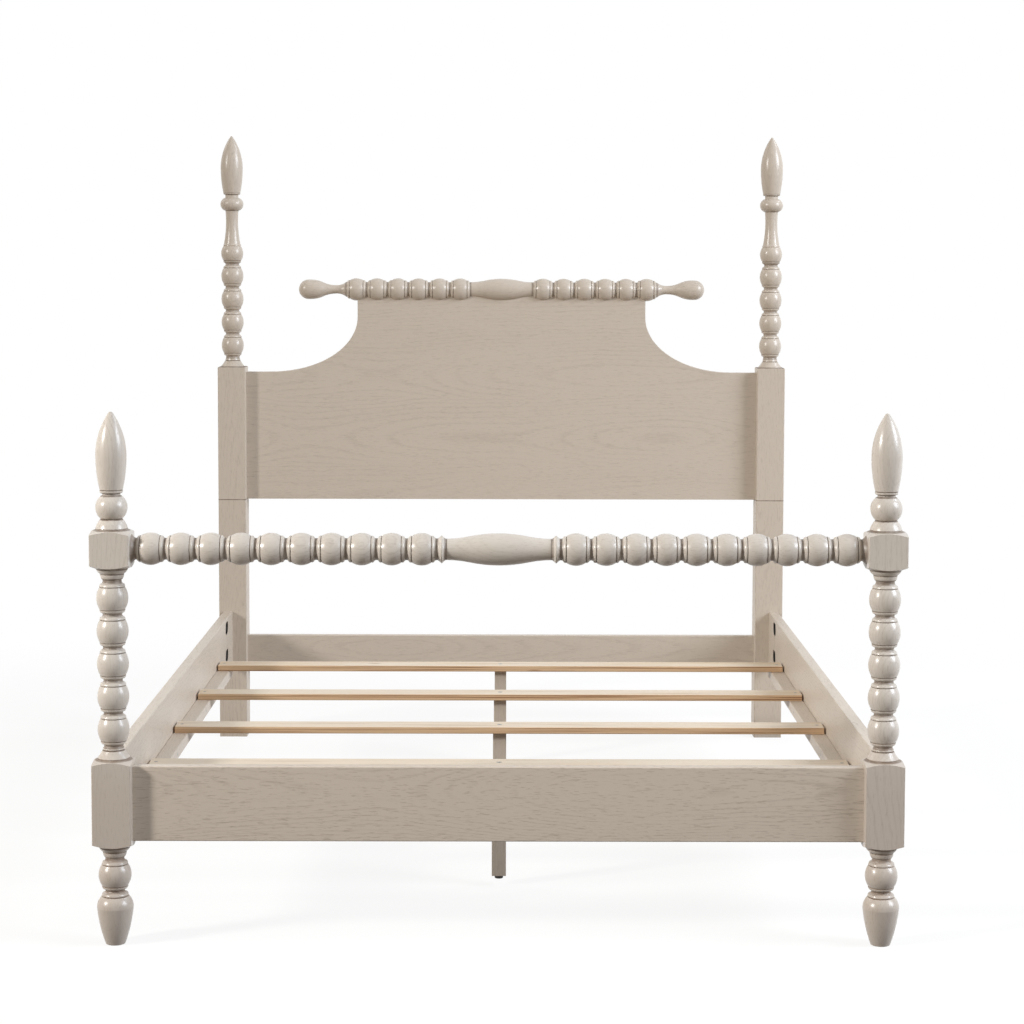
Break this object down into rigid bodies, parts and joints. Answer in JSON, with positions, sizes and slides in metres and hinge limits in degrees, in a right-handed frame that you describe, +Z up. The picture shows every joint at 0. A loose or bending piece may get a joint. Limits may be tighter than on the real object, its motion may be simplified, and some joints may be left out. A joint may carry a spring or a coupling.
{
  "type": "spindle bed",
  "caption": "Spindle bed frame with bobbin-turned posts and rails, a shaped headboard panel, bolted side rails, slats and centre legs on levelling glides.",
  "frame": {"origin": "on the floor under the middle of the bed's outline", "axes": "+Z up, +Y along the bed from the foot to the head, +X to the right seen from the foot"},
  "size_m": [1.65, 2.192, 1.756],
  "materials": {
    "painted_oak": "greige paint over open-grained oak with a brown glaze in the grooves, satin",
    "slat_pine": "bare sawn pine",
    "dowel_wood": "bare turned beech",
    "zinc_steel": "zinc plated",
    "pad_plastic": "moulded"
  },
  "bodies": {
    "frame": {"crest_dowels": "dowel_wood", "crest_rail": "painted_oak", "foot_post_left": "painted_oak", "foot_post_right": "painted_oak", "foot_rail": "painted_oak", "foot_rail_dowels": "dowel_wood", "foot_spindle_rail": "painted_oak", "half_moon_washers": "zinc_steel", "head_leg_dowels": "dowel_wood", "head_leg_left": "painted_oak", "head_leg_right": "painted_oak", "head_leg_studs": "zinc_steel", "head_post_left": "painted_oak", "head_post_right": "painted_oak", "head_spindle_left": "painted_oak", "head_spindle_right": "painted_oak", "head_stretcher": "painted_oak", "head_stretcher_dowels": "dowel_wood", "headboard_panel": "painted_oak", "ledger_screws": "zinc_steel", "leveller_inserts": "zinc_steel", "rail_bolt_inserts": "zinc_steel", "rail_bolt_nuts": "zinc_steel", "rail_bolts": "zinc_steel", "rail_dowels": "dowel_wood", "side_rail_left": "painted_oak", "side_rail_right": "painted_oak", "slat_1": "slat_pine", "slat_2": "slat_pine", "slat_3": "slat_pine", "slat_4": "slat_pine", "slat_ledger_left": "painted_oak", "slat_ledger_right": "painted_oak", "slat_screws": "zinc_steel", "spindle_studs": "zinc_steel", "support_leg_1": "painted_oak", "support_leg_2": "painted_oak", "support_leg_3": "painted_oak", "support_leg_4": "painted_oak", "support_leg_screws": "zinc_steel"},
    "leveller_pad_1": {"leveller_pad_1": "pad_plastic"},
    "leveller_stem_1": {"leveller_stem_1": "zinc_steel"},
    "leveller_pad_2": {"leveller_pad_2": "pad_plastic"},
    "leveller_stem_2": {"leveller_stem_2": "zinc_steel"},
    "leveller_pad_3": {"leveller_pad_3": "pad_plastic"},
    "leveller_stem_3": {"leveller_stem_3": "zinc_steel"},
    "leveller_pad_4": {"leveller_pad_4": "pad_plastic"},
    "leveller_stem_4": {"leveller_stem_4": "zinc_steel"}
  },
  "joints": [
    {"name": "leveller_slide_1", "type": "slide", "parent": "frame", "child": "leveller_pad_1", "axis": [0, 0, -1], "range_m": [0, 0.016]},
    {"name": "leveller_turn_1", "type": "hinge", "parent": "leveller_pad_1", "child": "leveller_stem_1", "pos_m": [0, -0.604, 0.016], "axis": [0, 0, -1], "range_deg": [0, 4600]},
    {"name": "leveller_slide_2", "type": "slide", "parent": "frame", "child": "leveller_pad_2", "axis": [0, 0, -1], "range_m": [0, 0.016]},
    {"name": "leveller_turn_2", "type": "hinge", "parent": "leveller_pad_2", "child": "leveller_stem_2", "pos_m": [0, -0.181, 0.016], "axis": [0, 0, -1], "range_deg": [0, 4600]},
    {"name": "leveller_slide_3", "type": "slide", "parent": "frame", "child": "leveller_pad_3", "axis": [0, 0, -1], "range_m": [0, 0.016]},
    {"name": "leveller_turn_3", "type": "hinge", "parent": "leveller_pad_3", "child": "leveller_stem_3", "pos_m": [0, 0.242, 0.016], "axis": [0, 0, -1], "range_deg": [0, 4600]},
    {"name": "leveller_slide_4", "type": "slide", "parent": "frame", "child": "leveller_pad_4", "axis": [0, 0, -1], "range_m": [0, 0.016]},
    {"name": "leveller_turn_4", "type": "hinge", "parent": "leveller_pad_4", "child": "leveller_stem_4", "pos_m": [0, 0.665, 0.016], "axis": [0, 0, -1], "range_deg": [0, 4600]}
  ],
  "couplings": [
    {"joint": "leveller_slide_1", "follows": "leveller_turn_1", "m_per_rad": 0.00019894},
    {"joint": "leveller_slide_2", "follows": "leveller_turn_2", "m_per_rad": 0.00019894},
    {"joint": "leveller_slide_3", "follows": "leveller_turn_3", "m_per_rad": 0.00019894},
    {"joint": "leveller_slide_4", "follows": "leveller_turn_4", "m_per_rad": 0.00019894}
  ]
}
